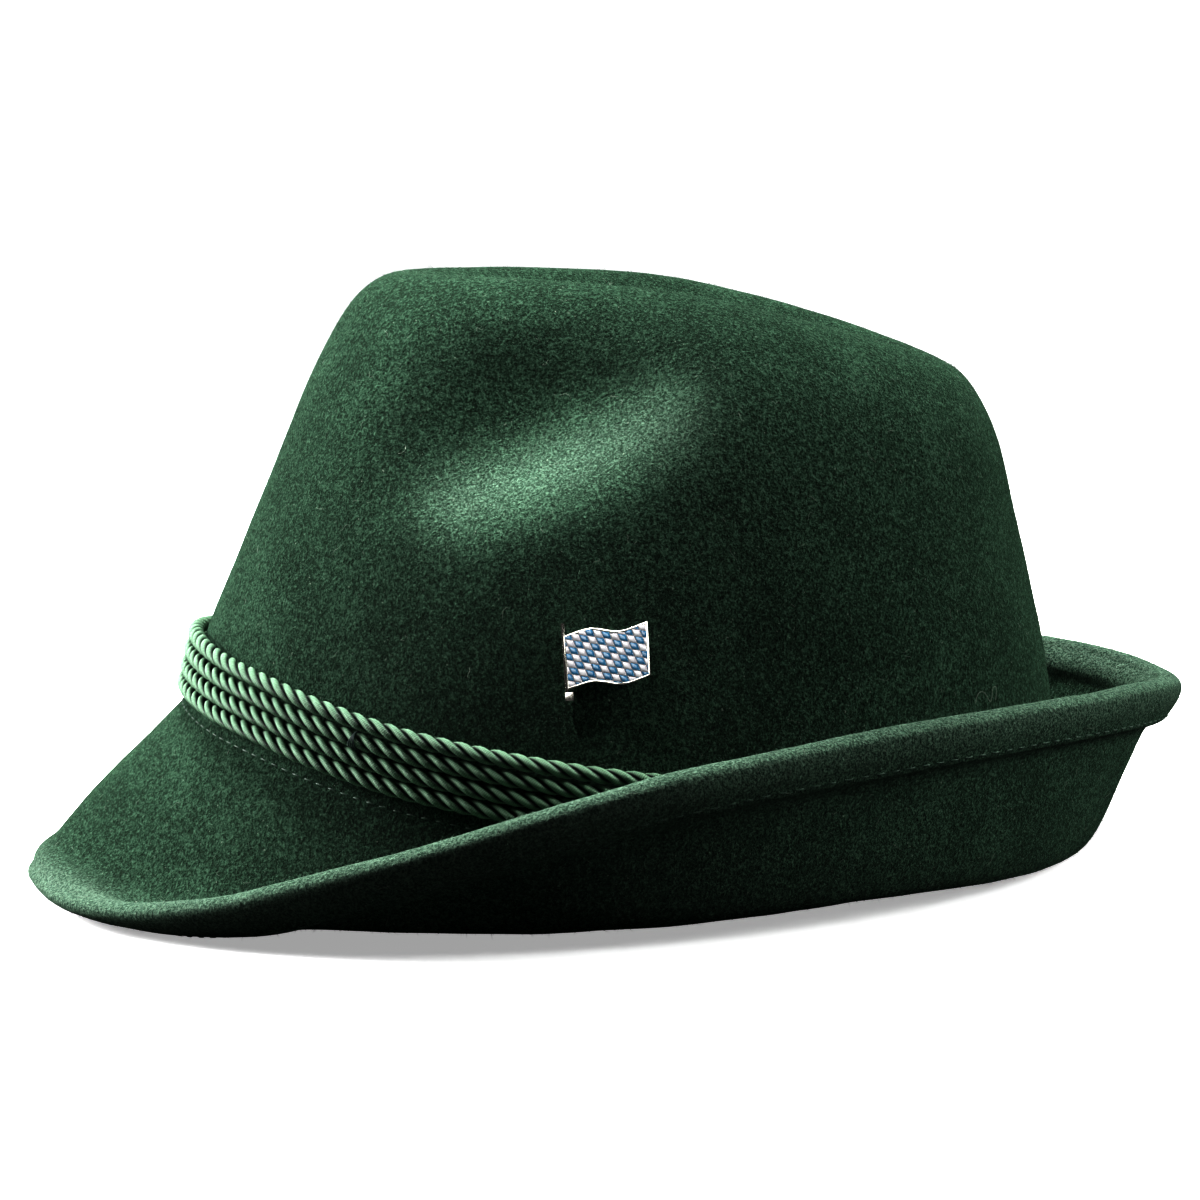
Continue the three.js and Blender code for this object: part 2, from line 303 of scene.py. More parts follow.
def felt_finish():
    felt = Recipe(
        "bottle green felt",
        Roughness=0.95,
        Specular_IOR_Level=0.12,
        Sheen_Weight=0.22,
        Sheen_Roughness=0.5,
        Sheen_Tint=(0.45, 0.86, 0.55, 1.0),
    )
    where = felt.place()
    cloud = felt.noise(where, 55.0, 3.0, 0.6)
    clump = felt.noise(where, 720.0, 3.0, 0.6, 0.5)
    speck = felt.noise(where, 1650.0, 2.0, 0.7, 0.5)
    # Level lines of a twisted noise run like the curled ends of wool fibres
    curl_a = 1 - abs(felt.noise(where, 640.0, 2.0, 0.5, 1.6) - 0.5) * 22
    curl_b = 1 - abs(felt.noise(where, 910.0, 2.0, 0.5, 2.2) - 0.46) * 26
    curls = curl_a.between(0.0, 1.0) * 0.6 + curl_b.between(0.1, 1.0) * 0.6
    tone = cloud * 0.20 + clump * 0.45 + speck * 0.75 - 0.20
    ground = felt.node(
        "ShaderNodeValToRGB",
        {
            "stops": [
                (0.40, (0.003, 0.008, 0.005)),
                (0.50, (0.019, 0.046, 0.029)),
                (0.62, (0.088, 0.165, 0.112)),
            ]
        },
        {"Fac": tone},
    )
    fibre = felt.mix(speck.between(0.45, 0.75), (0.070, 0.150, 0.098), (0.25, 0.38, 0.28))
    worn = felt.mix(curls * speck.between(0.35, 0.62) * 0.75, ground, fibre)
    # Along the rim and the dents' lower edges the felt is painted paler: a painted highlight
    nap = felt.node("ShaderNodeUVMap", {"uv_map": "nap"})
    rim = felt.node("ShaderNodeSeparateXYZ", {}, {0: nap}, output=0)
    ledge = felt.node("ShaderNodeSeparateXYZ", {}, {0: nap}, output=1)
    pale = felt.mix(speck.between(0.36, 0.64), (0.065, 0.120, 0.088), (0.320, 0.430, 0.345))
    highlighted_felt = felt.mix(rim * 0.85 + ledge * 0.40, worn, pale)
    fleck = felt.noise(where, 1300.0, 1.0).between(0.745, 0.80)
    felt.feed("Base Color", felt.mix(fleck * 0.7, highlighted_felt, (0.40, 0.46, 0.38)))
    felt.relief(clump * 0.8 + speck * 0.8 + curls * 0.2, 0.9, 0.0022)
    return felt.material


def cord_finish():
    cord = Recipe(
        "satin cord",
        Roughness=0.5,
        Specular_IOR_Level=0.45,
        Sheen_Weight=0.15,
        Sheen_Roughness=0.3,
        Sheen_Tint=(0.70, 0.95, 0.75, 1.0),
    )
    strand = cord.node("ShaderNodeUVMap", {"uv_map": "along_ply"})
    run = cord.node("ShaderNodeSeparateXYZ", {}, {0: strand}, output=0)
    turn = cord.node("ShaderNodeSeparateXYZ", {}, {0: strand}, output=1)
    drift = cord.noise(strand, 2.2, 2.0)
    threads = ((run * THREAD_PHASE + turn * TURN + drift * 1.5).sine() + 1) * 0.5
    fine = cord.noise(strand, 9.0, 3.0, 0.6)
    # Where the plies meet, the thread lies in shade and is darker
    open_side = (turn * TURN + TURN / 4).sine().between(-0.15, 0.75)
    dark = cord.mix(fine, (0.030, 0.085, 0.052), (0.062, 0.145, 0.090))
    light = cord.mix(fine, (0.270, 0.480, 0.310), (0.440, 0.650, 0.450))
    wound = cord.mix(threads * 0.7 + fine * 0.3, dark, light)
    cord.feed("Base Color", cord.mix(open_side, (0.004, 0.012, 0.008), wound))
    cord.feed("Roughness", 0.58 - threads * 0.14)
    cord.relief(threads + fine * 0.4, 0.8, 0.00018)
    return cord.material


def thread_finish(name, dark, light):
    thread = Recipe(name, Roughness=0.5, Specular_IOR_Level=0.4, Sheen_Weight=0.3)
    where = thread.place()
    grain = thread.noise(where, 2600.0, 3.0, 0.6)
    thread.feed("Base Color", thread.mix(grain.between(0.3, 0.7), dark, light))
    thread.relief(grain, 0.5, 0.0001)
    return thread.material


def metal_finish():
    metal = Recipe("polished nickel", Metallic=1.0, Specular_IOR_Level=0.5)
    where = metal.place()
    stretched = metal.node("ShaderNodeMapping", {}, {"Vector": where, "Scale": (1.0, 1.0, 0.08)})
    scratch = metal.noise(stretched, 5200.0, 3.0, 0.7)
    stain = metal.noise(where, 420.0, 3.0, 0.6)
    tone = metal.mix(stain.between(0.35, 0.75), (0.52, 0.51, 0.46), (0.36, 0.35, 0.31))
    metal.feed("Base Color", tone)
    metal.feed("Roughness", scratch * 0.16 + stain * 0.12 + 0.08)
    metal.relief(scratch, 0.12, 0.00005)
    return metal.material


def enamel_finish(name, deep, bright):
    enamel = Recipe(
        name, Roughness=0.22, Specular_IOR_Level=0.6, Coat_Weight=0.8, Coat_Roughness=0.08
    )
    where = enamel.place()
    cloud = enamel.noise(where, 900.0, 3.0, 0.6)
    enamel.feed("Base Color", enamel.mix(cloud.between(0.3, 0.7), deep, bright))
    enamel.feed("Roughness", cloud * 0.2 + 0.14)
    enamel.relief(enamel.noise(where, 1500.0, 2.0), 0.15, 0.00008)
    return enamel.material


def fibre_finish(name, colour):
    return Recipe(
        name, Base_Color=(*colour, 1.0), Roughness=0.75, Specular_IOR_Level=0.25
    ).material


# Small helpers


def pick(piece):
    bpy.ops.object.select_all(action="DESELECT")
    piece.select_set(True)
    bpy.context.view_layer.objects.active = piece


def edit(piece):
    pick(piece)
    bpy.ops.object.mode_set(mode="EDIT")
    bpy.ops.mesh.select_all(action="SELECT")


def leave_edit():
    bpy.ops.object.mode_set(mode="OBJECT")


def finish_with(piece, kind, **settings):
    modifier = piece.modifiers.new(kind.lower(), kind)
    for key, value in settings.items():
        setattr(modifier, key, value)
    pick(piece)
    bpy.ops.object.modifier_apply(modifier=modifier.name)


def mesh_piece(name, points, faces, material, smooth=True):
    mesh = bpy.data.meshes.new(name)
    mesh.from_pydata(np.asarray(points).tolist(), [], faces)
    mesh.materials.append(material)
    mesh.polygons.foreach_set("use_smooth", [smooth] * len(mesh.polygons))
    piece = bpy.data.objects.new(name, mesh)
    bpy.context.scene.collection.objects.link(piece)
    return piece


def copied_node(node, name, material):
    """A merged copy of a CAD node, to be dressed and to stand for it."""
    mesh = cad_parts[node].data.copy()
    mesh.name = name
    mesh.materials.clear()
    mesh.materials.append(material)
    piece = bpy.data.objects.new(name, mesh)
    bpy.context.scene.collection.objects.link(piece)
    edit(piece)
    bpy.ops.mesh.remove_doubles(threshold=MERGE)
    leave_edit()
    return piece


def join_up(piece, slot_name, *nodes):
    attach(piece, "root")
    if nodes:
        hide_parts(*nodes)
    return piece


def smooth_loop(points, count):
    """A closed smooth curve through points, as evenly spaced points."""
    fine = []
    share = np.linspace(0, 1, 24, endpoint=False)[:, None]
    before, after, beyond = (np.roll(points, shift, 0) for shift in (1, -1, -2))
    for p, a, b, q in zip(before, points, after, beyond):
        fine.append(
            a
            + 0.5 * share * (b - p)
            + share**2 * (p - 2.5 * a + 2 * b - 0.5 * q)
            + share**3 * (1.5 * (a - b) + 0.5 * (q - p))
        )
    fine = np.concatenate(fine)
    closed = np.vstack([fine, fine[:1]])
    run = np.insert(np.cumsum(np.linalg.norm(np.diff(closed, axis=0), axis=1)), 0, 0)
    at = np.linspace(0, run[-1], count, endpoint=False)
    return np.stack([np.interp(at, run, closed[:, k]) for k in range(3)], 1), run[-1]


# The hat's felt


def roll_welt(hat):
    """The folded edge swells to a soft roll, and the felt stays above the floor.

    Gives the places of the hat's points and how far each was from the rim.
    """
    points = np.empty(len(hat.data.vertices) * 3)
    ways = np.empty(len(hat.data.vertices) * 3)
    hat.data.vertices.foreach_get("co", points)
    hat.data.vertex_normals.foreach_get("vector", ways)
    points = points.reshape(-1, 3)
    rim, _ = smooth_loop(np.array([row["rim"] for row in WELT]) * MM, RIM_STEPS)
    off = np.full(len(points), 1.0)
    for start in range(0, len(rim), RIM_BATCH):
        gap = points[:, None, :] - rim[None, start : start + RIM_BATCH, :]
        off = np.minimum(off, np.sqrt((gap**2).sum(2)).min(1))
    share = np.clip(off / WELT_REACH, 0, 1)
    profile = 0.15 + 0.85 * np.sin(np.pi * share)
    swell = WELT_ROLL * profile * (1 - share**3) * (share < 1)
    outward = ways.reshape(-1, 3) * (1, 1, WELT_RISE)
    points += outward * swell[:, None]
    points[:, 2] = np.maximum(points[:, 2], 0.0)
    hat.data.vertices.foreach_set("co", points.ravel())
    return points, off


def paint_highlight_map(hat, points, off):
    """A UV map that says how strong the painted highlight is: u along the rim, v along the dents'
    edges.
    """
    rim_highlight = np.exp(-((off / RIM_HIGHLIGHT_REACH) ** 2))
    a, b = np.array(DENT_EDGE)
    either_side = points.copy()
    either_side[:, 0] = abs(either_side[:, 0])
    share = np.clip((either_side - a) @ (b - a) / ((b - a) @ (b - a)), 0, 1)[:, None]
    edge_off = np.linalg.norm(either_side - a - share * (b - a), axis=1)
    edge_highlight = np.exp(-((edge_off / DENT_HIGHLIGHT_REACH) ** 2))
    corners = np.empty(len(hat.data.loops), dtype=int)
    hat.data.loops.foreach_get("vertex_index", corners)
    nap = np.stack([rim_highlight, edge_highlight], 1)[corners]
    chart = hat.data.uv_layers.new(name="nap")
    chart.data.foreach_set("uv", nap.astype(np.float32).ravel())


def felt_hat(material):
    hat = copied_node("felt_body", "felt_hat", material)
    edit(hat)
    bpy.ops.mesh.tris_convert_to_quads(
        face_threshold=math.radians(70), shape_threshold=math.radians(70)
    )
    leave_edit()
    finish_with(hat, "SUBSURF", levels=1, render_levels=1)
    finish_with(hat, "SMOOTH", factor=0.5, iterations=3)
    finish_with(hat, "SUBSURF", levels=1, render_levels=1)
    swell = bpy.data.textures.new("felt unevenness", "CLOUDS")
    swell.noise_scale = 30 * MM
    swell.noise_depth = 2
    finish_with(hat, "DISPLACE", texture=swell, texture_coords="LOCAL", strength=UNEVEN)
    paint_highlight_map(hat, *roll_welt(hat))
    pick(hat)
    bpy.ops.object.shade_smooth()
    return join_up(hat, "felt", "felt_body")


# Cords


def ring_middles(node):
    """The middle of each ring of a CAD cord, in order round the hat."""
    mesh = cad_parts[node].data
    points = np.empty(len(mesh.vertices) * 3)
    mesh.vertices.foreach_get("co", points)
    points = np.unique(points.reshape(-1, 3).round(7), axis=0)
    turn = np.arctan2(points[:, 0], -points[:, 1])
    points = points[np.argsort(turn)]
    turn = np.sort(turn)
    gaps = np.diff(np.append(turn, turn[0] + 2 * math.pi))
    starts = np.sort(np.argsort(-gaps)[: len(points) // 6]) + 1
    points = np.roll(points, -starts[0], axis=0)
    starts = np.append(starts - starts[0], len(points))
    return np.array([points[a:b].mean(0) for a, b in zip(starts[:-1], starts[1:])])


def unit(vectors):
    return vectors / np.linalg.norm(vectors, axis=-1, keepdims=True)


def loop_tangent(loop):
    return unit(np.roll(loop, -1, 0) - np.roll(loop, 1, 0))


def twisted_cord(number, material):
    """A CAD cord's ring as twisted plies, which stand for it. Gives its middle line."""
    node = f"cord_{number}"
    middles = ring_middles(node)
    length = smooth_loop(middles, 400)[1]
    turns = round(length / TWIST_LENGTH)
    count = turns * STEPS_A_TURN
    core, _ = smooth_loop(middles, count)
    ahead = loop_tangent(core)
    out = core * (1, 1, 0)
    out = unit(out - ahead * (out * ahead).sum(1, keepdims=True))
    up = np.cross(ahead, out)
    angle = 2 * math.pi * turns * np.arange(count) / count + number * 0.9
    points, faces, corners = [], [], []
    for ply in range(PLIES):
        a = (angle + 2 * math.pi * ply / PLIES)[:, None]
        away = np.cos(a) * out + np.sin(a) * up
        line = core + PLY_OFFSET * away
        along = loop_tangent(line)
        side = unit(away - along * (away * along).sum(1, keepdims=True))
        other = np.cross(along, side)
        start = ply * count * PLY_SIDES
        for k in range(PLY_SIDES):
            turn = 2 * math.pi * k / PLY_SIDES
            points.append(line + PLY_RADIUS * (math.cos(turn) * side + math.sin(turn) * other))
        step = length * math.hypot(1, 2 * math.pi * PLY_OFFSET / TWIST_LENGTH) / count / MM
        for k in range(PLY_SIDES):
            for i in range(count):
                j = (i + 1) % count
                low = start + k * count
                high = start + (k + 1) % PLY_SIDES * count
                faces.append((low + i, low + j, high + j, high + i))
                v = k / PLY_SIDES
                w = (k + 1) / PLY_SIDES
                corners += [(i * step, v), ((i + 1) * step, v), ((i + 1) * step, w), (i * step, w)]
    cord = mesh_piece(f"twisted_cord_{number}", np.concatenate(points), faces, material)
    chart = cord.data.uv_layers.new(name="along_ply")
    chart.data.foreach_set("uv", np.array(corners, dtype=np.float32).ravel())
    join_up(cord, "cord", node)
    return core


# Stitches


def stitch_row(name, places, lifts, pitch, length, material):
    """Short threads along a closed line, each arched a little and sunk in the felt at its ends."""
    line, whole = smooth_loop(places, STITCH_LINE)
    normals = unit(smooth_loop(lifts, STITCH_LINE)[0])
    count = round(whole / pitch)
    half = STITCH_THICK / 2
    points, faces = [], []
    for n in range(count):
        rings = []
        for along, height, size in STITCH_RINGS:
            at = ((n + 0.5) * pitch + along * length) / whole
            at = int(round(at * STITCH_LINE)) % STITCH_LINE
            ahead = unit(line[(at + 8) % STITCH_LINE] - line[at - 8])
            up = normals[at]
            across = np.cross(ahead, up)
            middle = line[at] + up * height * half
            first = len(points)
            for k in range(6):
                turn = math.pi / 3 * k
                spoke = math.cos(turn) * across + math.sin(turn) * up
                points.append(middle + size * half * spoke)
            rings.append(range(first, first + 6))
        for a, b in zip(rings[:-1], rings[1:]):
            for k in range(6):
                m = (k + 1) % 6
                faces.append((a[k], a[m], b[m], b[k]))
        faces.append(tuple(reversed(rings[0])))
        faces.append(tuple(rings[-1]))
    row = mesh_piece(name, points, faces, material)
    edit(row)
    bpy.ops.mesh.normals_make_consistent(inside=False)
    leave_edit()
    return join_up(row, "cord")


def band_stitches(hat_surface, lowest_cord, material):
    places, lifts = [], []
    for point in lowest_cord[:: max(1, len(lowest_cord) // 90)]:
        out = Vector((point[0], point[1], 0)).normalized()
        below = Vector(point) + out * BAND_STITCH_OUT - Vector((0, 0, BAND_STITCH_DOWN))
        hit, normal, _, _ = hat_surface.find_nearest(below)
        places.append(hit)
        lifts.append(normal)
    return stitch_row(
        "band_stitches", np.array(places), np.array(lifts), BAND_STITCH_PITCH, BAND_STITCH, material
    )


def welt_stitches(hat_surface, material):
    guide, _ = smooth_loop(np.array([row["stitch"] for row in WELT]) * MM, 120)
    places, lifts = [], []
    for point in guide:
        hit, normal, _, _ = hat_surface.find_nearest(Vector(point))
        places.append(hit)
        lifts.append(normal)
    return stitch_row(
        "welt_stitches", np.array(places), np.array(lifts), WELT_STITCH_PITCH, WELT_STITCH, material
    )


# Fibres that stand off the felt


def felt_spots(hat, count, chance):
    """Random places on the felt by area, with the felt's normal there."""
    mesh = hat.data
    mesh.calc_loop_triangles()
    corners = np.empty(len(mesh.loop_triangles) * 3, dtype=int)
    mesh.loop_triangles.foreach_get("vertices", corners)
    places = np.empty(len(mesh.vertices) * 3)
    mesh.vertices.foreach_get("co", places)
    a, b, c = places.reshape(-1, 3)[corners.reshape(-1, 3)].transpose(1, 0, 2)
    face = np.cross(b - a, c - a)
    area = np.linalg.norm(face, axis=1)
    kept = np.flatnonzero((a[:, 2] > FELT_ABOVE_FLOOR) & (area > 0))
    chosen = chance.choice(kept, count, p=area[kept] / area[kept].sum())
    u = chance.random((count, 1))
    v = chance.random((count, 1))
    over = (u + v) > 1
    u[over], v[over] = 1 - u[over], 1 - v[over]
    spots = a[chosen] + u * (b[chosen] - a[chosen]) + v * (c[chosen] - a[chosen])
    return spots, unit(face[chosen])


def any_tangent(normals, chance):
    loose = chance.normal(size=normals.shape)
    return unit(loose - normals * (loose * normals).sum(1, keepdims=True))


def short_fibres(hat, name, count, least, most, width, lift, colour, seed):
    """Straight tapered fibres, each a slender closed spike rooted in the felt."""
    chance = np.random.default_rng(seed)
    spots, normals = felt_spots(hat, count, chance)
    lie = any_tangent(normals, chance)
    way = unit(lie + normals * chance.random((count, 1)) ** 2 * lift * 2)
    reach = least + (most - least) * chance.random((count, 1)) ** 2
    side = unit(np.cross(way, normals))
    other = np.cross(way, side)
    root = spots - normals * width * 0.6
    tip = spots + way * reach + normals * width * 0.5
    points = np.stack(
        [
            root + side * width * 0.5,
            root - side * width * 0.25 + other * width * 0.43,
            root - side * width * 0.25 - other * width * 0.43,
            tip,
        ],
        axis=1,
    ).reshape(-1, 3)
    points[:, 2] = np.maximum(points[:, 2], FIBRE_ABOVE_FLOOR)
    first = np.arange(count)[:, None] * 4
    spike = np.array([[0, 1, 3], [1, 2, 3], [2, 0, 3], [0, 2, 1]])
    faces = (first[:, :, None] + spike[None]).reshape(-1, 3)
    finish = fibre_finish(name.replace("_", " "), colour)
    return join_up(mesh_piece(name, points, faces.tolist(), finish, smooth=False), "felt")


def curled_hairs(hat, name, count, least, most, width, colour, seed):
    """Longer hairs that curl over the felt, each a closed tapered thread."""
    chance = np.random.default_rng(seed)
    spots, normals = felt_spots(hat, count, chance)
    lie = any_tangent(normals, chance)
    cross = np.cross(normals, lie)
    reach = least + (most - least) * chance.random((count, 1)) ** 3
    bend = chance.normal(size=(count, 1)) * 1.6
    kink = chance.normal(size=(count, 1)) * 1.0
    rise = 0.10 + 0.35 * chance.random((count, 1))
    steps = HAIR_STEPS
    place = spots - normals * width * 0.6
    rings = []
    for i in range(steps):
        t = i / (steps - 1)
        turn = bend * t + kink * math.sin(4.2 * t)
        way = np.cos(turn) * lie + np.sin(turn) * cross + normals * rise * (1 - 1.6 * t)
        way = unit(way)
        side = unit(np.cross(way, normals))
        other = np.cross(way, side)
        size = width * (0.5 if i in (0, steps - 1) else 1.0)
        for k in range(3):
            a = 2 * math.pi * k / 3
            rings.append(place + size * 0.5 * (math.cos(a) * side + math.sin(a) * other))
        place = place + way * reach / (steps - 1)
    points = np.stack(rings, axis=1).reshape(-1, 3)
    points[:, 2] = np.maximum(points[:, 2], FIBRE_ABOVE_FLOOR)
    tube = []
    for i in range(steps - 1):
        for k in range(3):
            m = (k + 1) % 3
            tube.append([3 * i + k, 3 * i + m, 3 * i + 3 + m, 3 * i + 3 + k])
    size = 3 * steps
    tube += [[0, 2, 1], [size - 3, size - 2, size - 1]]
    faces = [[n * size + v for v in face] for n in range(count) for face in tube]
    finish = fibre_finish(name.replace("_", " "), colour)
    return join_up(mesh_piece(name, points, faces, finish), "felt")


def thread_tie(core, material):
    """A few turns of thread wound round a cord at one place."""
    at = min(range(len(core)), key=lambda i: (Vector(core[i]) - Vector(TIE_PLACE)).length)
    ahead = Vector(core[(at + 4) % len(core)] - core[at - 4]).normalized()
    turns = []
    for n in (-1.2, -0.4, 0.4, 1.1):
        leant = ahead + Vector((0, 0, 0.25 * n))
        bpy.ops.mesh.primitive_torus_add(
            location=Vector(core[at]) + ahead * (n * TIE_PITCH),
            rotation=leant.to_track_quat("Z", "Y").to_euler(),
            major_radius=CORD_RADIUS + 0.05 * MM,
            minor_radius=STITCH_THICK / 2,
            major_segments=36,
            minor_segments=8,
        )
        turns.append(bpy.context.active_object)
    for turn in turns:
        turn.select_set(True)
    bpy.ops.object.join()
    tie = bpy.context.active_object
    tie.name = "thread_tie"
    bpy.ops.object.transform_apply(location=True, rotation=True, scale=True)
    tie.data.materials.append(material)
    bpy.ops.object.shade_smooth()
    return join_up(tie, "cord")


def single_hair(hat_surface):
    """One long pale hair that lies curled on the crown, as it is seen from the camera."""
    right, up = Vector(CAMERA_RIGHT), Vector(CAMERA_UP)
    ahead = -right.cross(up)
    middle = PICTURE / 2
    scale = CAMERA_LENS / SENSOR * PICTURE
    path = []
    for across, down in HAIR_SEEN:
        way = ahead + right * (across - middle) / scale + up * (middle - down) / scale
        hit, normal, _, _ = hat_surface.ray_cast(Vector(CAMERA_PLACE), way.normalized())
        path.append(hit + normal * HAIR_OFF)
    curve = bpy.data.curves.new("single_hair", "CURVE")
    curve.dimensions = "3D"
    curve.bevel_depth = HAIR_RADIUS
    curve.bevel_resolution = 1
    curve.use_fill_caps = True
    line = curve.splines.new("NURBS")
    line.points.add(len(path) - 1)
    for point, place in zip(line.points, path):
        point.co = (*place, 1)
    line.use_endpoint_u = True
    hair = bpy.data.objects.new("single_hair", curve)
    bpy.context.scene.collection.objects.link(hair)
    pick(hair)
    bpy.ops.object.convert(target="MESH")
    hair = bpy.context.active_object
    hair.data.materials.append(fibre_finish("pale hair", (0.34, 0.40, 0.33)))
    edit(hair)
    bpy.ops.mesh.normals_make_consistent(inside=False)
    leave_edit()
    return join_up(hair, "felt")


# Flag pin


def flag_frame():
    """Where the flag sits: its middle, its length's way, its height's way and the way it faces."""
    mesh = copied_node("flag_enamel", "flag_measure", None).data
    low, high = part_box("flag_enamel")
    faces = [f for f in mesh.polygons if f.normal.x > 0.7]
    out = sum((f.normal * f.area for f in faces), Vector()).normalized()
    level = Vector((0, 0, 1)).cross(out).normalized()
    tilt = Matrix.Rotation(math.radians(FLAG_TILT), 3, out)
    along = tilt @ level
    up = out.cross(along)
    middle = (low + high) / 2
    place = Matrix((along, up, out)).transposed().to_4x4()
    place.translation = middle
    outline = [place.inverted() @ v.co for v in mesh.vertices]
    bpy.data.objects.remove(bpy.data.objects["flag_measure"])
    return place, outline


def cut(polygon, point, normal):
    """The part of a flat polygon on the inner side of a line."""
    kept = []
    for a, b in zip(polygon, polygon[1:] + polygon[:1]):
        da = (a[0] - point[0]) * normal[0] + (a[1] - point[1]) * normal[1]
        db = (b[0] - point[0]) * normal[0] + (b[1] - point[1]) * normal[1]
        if da <= 0:
            kept.append(a)
        if (da < 0 < db) or (db < 0 < da):
            t = da / (da - db)
            kept.append((a[0] + t * (b[0] - a[0]), a[1] + t * (b[1] - a[1])))
    return kept


def flat_area(polygon):
    turned = polygon[1:] + polygon[:1]
    return abs(sum(a[0] * b[1] - b[0] * a[1] for a, b in zip(polygon, turned))) / 2


def lozenge(column, row, centre, rims):
    """One enamel cell's outline, cut to the flag's edges."""
    grooved = 0.5 - LOZENGE_GROOVE / 2 / LOZENGE_ALONG[0]
    raised = 0.5 - LOZENGE_GROOVE / 2 / LOZENGE_UP[1]
    polygon = []
    for i, j in ((-grooved, -raised), (grooved, -raised), (grooved, raised), (-grooved, raised)):
        x = centre[0] + (column + i) * LOZENGE_ALONG[0] + (row + j) * LOZENGE_UP[0]
        y = centre[1] + (column + i) * LOZENGE_ALONG[1] + (row + j) * LOZENGE_UP[1]
        polygon.append((x, y))
    left, right, lower, upper = rims
    polygon = cut(polygon, (left, 0), (-1, 0))
    polygon = cut(polygon, (right, 0), (1, 0))
    for edge, way in ((lower, -1), (upper, 1)):
        for a, b in zip(edge[:-1], edge[1:]):
            if not polygon:
                return polygon
            if b[0] < min(p[0] for p in polygon) or a[0] > max(p[0] for p in polygon):
                continue
            polygon = cut(polygon, a, (-(b[1] - a[1]) * way, (b[0] - a[0]) * way))
    return polygon


def domed_cells(name, cells, ground, top, place, material):
    """Each outline rises from the ground as a wall and a low dome."""
    points, faces = [], []
    for polygon in cells:
        x = sum(p[0] for p in polygon) / len(polygon)
        y = sum(p[1] for p in polygon) / len(polygon)
        rings = []
        for height, size in CELL_RINGS:
            first = len(points)
            z = ground + height * (top - ground)
            points += [(x + (p[0] - x) * size, y + (p[1] - y) * size, z) for p in polygon]
            rings.append(range(first, first + len(polygon)))
        for a, b in zip(rings[:-1], rings[1:]):
            for k in range(len(polygon)):
                m = (k + 1) % len(polygon)
                faces.append((a[k], a[m], b[m], b[k]))
        faces.append(tuple(reversed(rings[0])))
        points.append((x, y, top))
        last = len(points) - 1
        for k in range(len(polygon)):
            faces.append((rings[-1][k], rings[-1][(k + 1) % len(polygon)], last))
    piece = mesh_piece(name, points, faces, material)
    piece.data.transform(place)
    pick(piece)
    bpy.ops.object.shade_smooth_by_angle(angle=math.radians(50))
    return join_up(piece, "enamel", "flag_enamel")


def enamel_cells(outline, top):
    """The lozenges that lie in the flag's face, blue ones and white ones."""
    ground = min(p.z for p in outline)
    face = [p for p in outline if p.z > (ground + top) / 2]
    left = min(p.x for p in face) - ENAMEL_OVER_RIM
    right = max(p.x for p in face) + ENAMEL_OVER_RIM
    lower, upper = [], []
    for x in sorted({round(p.x, 6) for p in face}):
        heights = [p.y for p in face if abs(p.x - x) < 0.05 * MM]
        lower.append((x, min(heights) - ENAMEL_OVER_RIM))
        upper.append((x, max(heights) + ENAMEL_OVER_RIM))
    for edge in (lower, upper):
        edge[0] = (left, edge[0][1])
        edge[-1] = (right, edge[-1][1])
    centre = ((left + right) / 2, 0)
    cells = {0: [], 1: []}
    for column in range(-9, 10):
        for row in range(-8, 9):
            polygon = lozenge(column, row, centre, (left, right, lower, upper))
            if len(polygon) > 2 and flat_area(polygon) > LEAST_CELL:
                cells[(column + row) % 2].append(polygon)
    return cells


def metal_piece(node, name, metal, round_off, steps, sharpest):
    """A CAD piece with its sharp edges rounded off."""
    piece = copied_node(node, name, metal)
    angle = math.radians(sharpest)
    finish_with(
        piece, "BEVEL", width=round_off, segments=steps, limit_method="ANGLE", angle_limit=angle
    )
    pick(piece)
    bpy.ops.object.shade_smooth_by_angle(angle=math.radians(40))
    return join_up(piece, "pin_metal", node)


def flag_pin(metal, blue, white, dark):
    place, outline = flag_frame()
    ground = min(p.z for p in outline)
    top = max(p.z for p in outline)
    cells = enamel_cells(outline, top)
    bed = ground + ENAMEL_BED
    domed_cells("enamel_blue", cells[0], bed, top + LOZENGE_DOME, place, blue)
    domed_cells("enamel_white", cells[1], bed, top + LOZENGE_DOME, place, white)
    # A dark sheet under the cells, which shows in the grooves between them as painted shade
    groove_shade = copied_node("flag_enamel", "groove_shade_sheet", dark)
    groove_shade.data.transform(place.inverted())
    for v in groove_shade.data.vertices:
        v.co.z = ground + (v.co.z - ground) * GROOVE_HEIGHT
    groove_shade.data.transform(place)
    join_up(groove_shade, "enamel", "flag_enamel")
    metal_piece("flag_plate", "flag_setting", metal, 0.09 * MM, 2, 40)
    metal_piece("pin_clutch", "clutch", metal, 0.4 * MM, 3, 50)


# Stage


